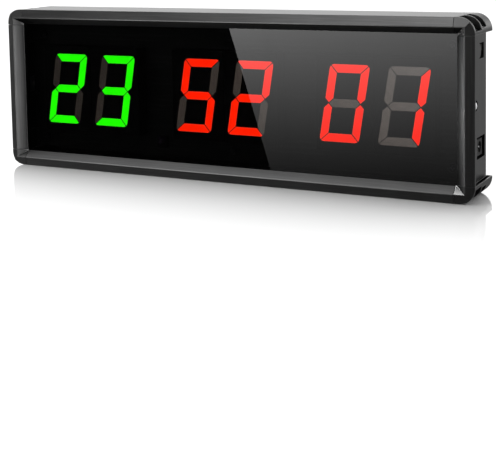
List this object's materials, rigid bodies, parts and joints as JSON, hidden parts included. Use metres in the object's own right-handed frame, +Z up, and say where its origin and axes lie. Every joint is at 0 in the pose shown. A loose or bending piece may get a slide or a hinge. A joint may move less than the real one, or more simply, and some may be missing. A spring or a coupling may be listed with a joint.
{
  "type": "gym round timer",
  "caption": "Wide wall or shelf interval timer: slanted seven-segment digits behind a smoked lens in a metal rail frame with ribbed corner pieces, a power jack and a slide switch on one side.",
  "frame": {"origin": "bottom centre of the case, half way through its depth", "axes": "+X towards the side with the power jack, +Y towards the back, +Z up; the lens faces -Y"},
  "size_m": [0.305, 0.036, 0.1],
  "materials": {
    "dark_aluminium": "satin dark grey anodised, fine lengthwise extrusion lines",
    "side_aluminium": "satin dark grey anodised",
    "corner_plastic": "moulded dark grey plastic, semi gloss",
    "smoked_lens": "smoked clear acrylic, polished",
    "foam": "matt black foam strip",
    "panel_plastic": "fine leather-like moulded texture",
    "zinc_screw": "zinc plated",
    "black_screw": "black zinc plated",
    "bright_screw": "bright nickel plated",
    "circuit_board": "black solder mask",
    "brass_standoff": "turned brass",
    "steel_bracket": "pressed sheet steel",
    "module_black": "matt black moulded housing",
    "green_segment": "lit green diffuser",
    "red_segment": "lit red diffuser",
    "grey_segment": "unlit milky grey diffuser",
    "tinned_pin": "tinned",
    "ir_epoxy": "dark infrared epoxy",
    "chip_black": "moulded epoxy",
    "crystal_can": "drawn steel can",
    "holder_black": "moulded nylon",
    "cell_steel": "nickel plated",
    "buzzer_black": "moulded plastic",
    "capacitor_sleeve": "printed-free sleeve over an aluminium can",
    "jack_black": "moulded plastic",
    "jack_contact": "nickel plated",
    "spring_bronze": "phosphor bronze strip",
    "switch_frame": "tinned steel frame",
    "knob_black": "moulded nylon"
  },
  "bodies": {
    "case": {"top_rail": "dark_aluminium", "bottom_rail": "dark_aluminium", "left_rail": "side_aluminium", "right_rail": "side_aluminium", "corner_top_left": "corner_plastic", "corner_top_right": "corner_plastic", "corner_bottom_left": "corner_plastic", "corner_bottom_right": "corner_plastic", "front_lens": "smoked_lens", "lens_gasket": "foam", "back_panel": "panel_plastic", "panel_screws": "zinc_screw", "display_board": "circuit_board", "board_standoffs": "brass_standoff", "board_screws": "black_screw", "side_brackets": "steel_bracket", "side_screws": "bright_screw", "digit_1_housing": "module_black", "digit_2_housing": "module_black", "digit_3_housing": "module_black", "digit_4_housing": "module_black", "digit_5_housing": "module_black", "digit_6_housing": "module_black", "digit_1_lit": "green_segment", "digit_2_lit": "green_segment", "digit_3_lit": "red_segment", "digit_4_lit": "red_segment", "digit_5_lit": "red_segment", "digit_6_lit": "red_segment", "digit_1_unlit": "grey_segment", "digit_2_unlit": "grey_segment", "digit_3_unlit": "grey_segment", "digit_4_unlit": "grey_segment", "digit_5_unlit": "grey_segment", "digit_6_unlit": "grey_segment", "digit_pins": "tinned_pin", "ir_receiver": "ir_epoxy", "microcontroller": "chip_black", "driver_chips": "chip_black", "clock_chip": "chip_black", "crystal": "crystal_can", "cell_holder": "holder_black", "coin_cell": "cell_steel", "buzzer": "buzzer_black", "capacitors": "capacitor_sleeve", "voltage_regulator": "chip_black", "resistors": "chip_black", "jack_housing": "jack_black", "jack_pin": "jack_contact", "switch_body": "switch_frame", "switch_terminals": "tinned_pin"},
    "switch_knob": {"switch_knob": "knob_black"},
    "jack_spring": {"jack_spring": "spring_bronze"}
  },
  "joints": [
    {"name": "switch_slide", "type": "slide", "parent": "case", "child": "switch_knob", "axis": [0, 0, -1], "range_m": [0, 0.003]},
    {"name": "jack_spring_flex", "type": "hinge", "parent": "case", "child": "jack_spring", "pos_m": [0.1378, 0.0075, 0.02428], "axis": [0, 1, 0], "range_deg": [0, 5], "stiffness_Nm_per_rad": 0.02}
  ]
}
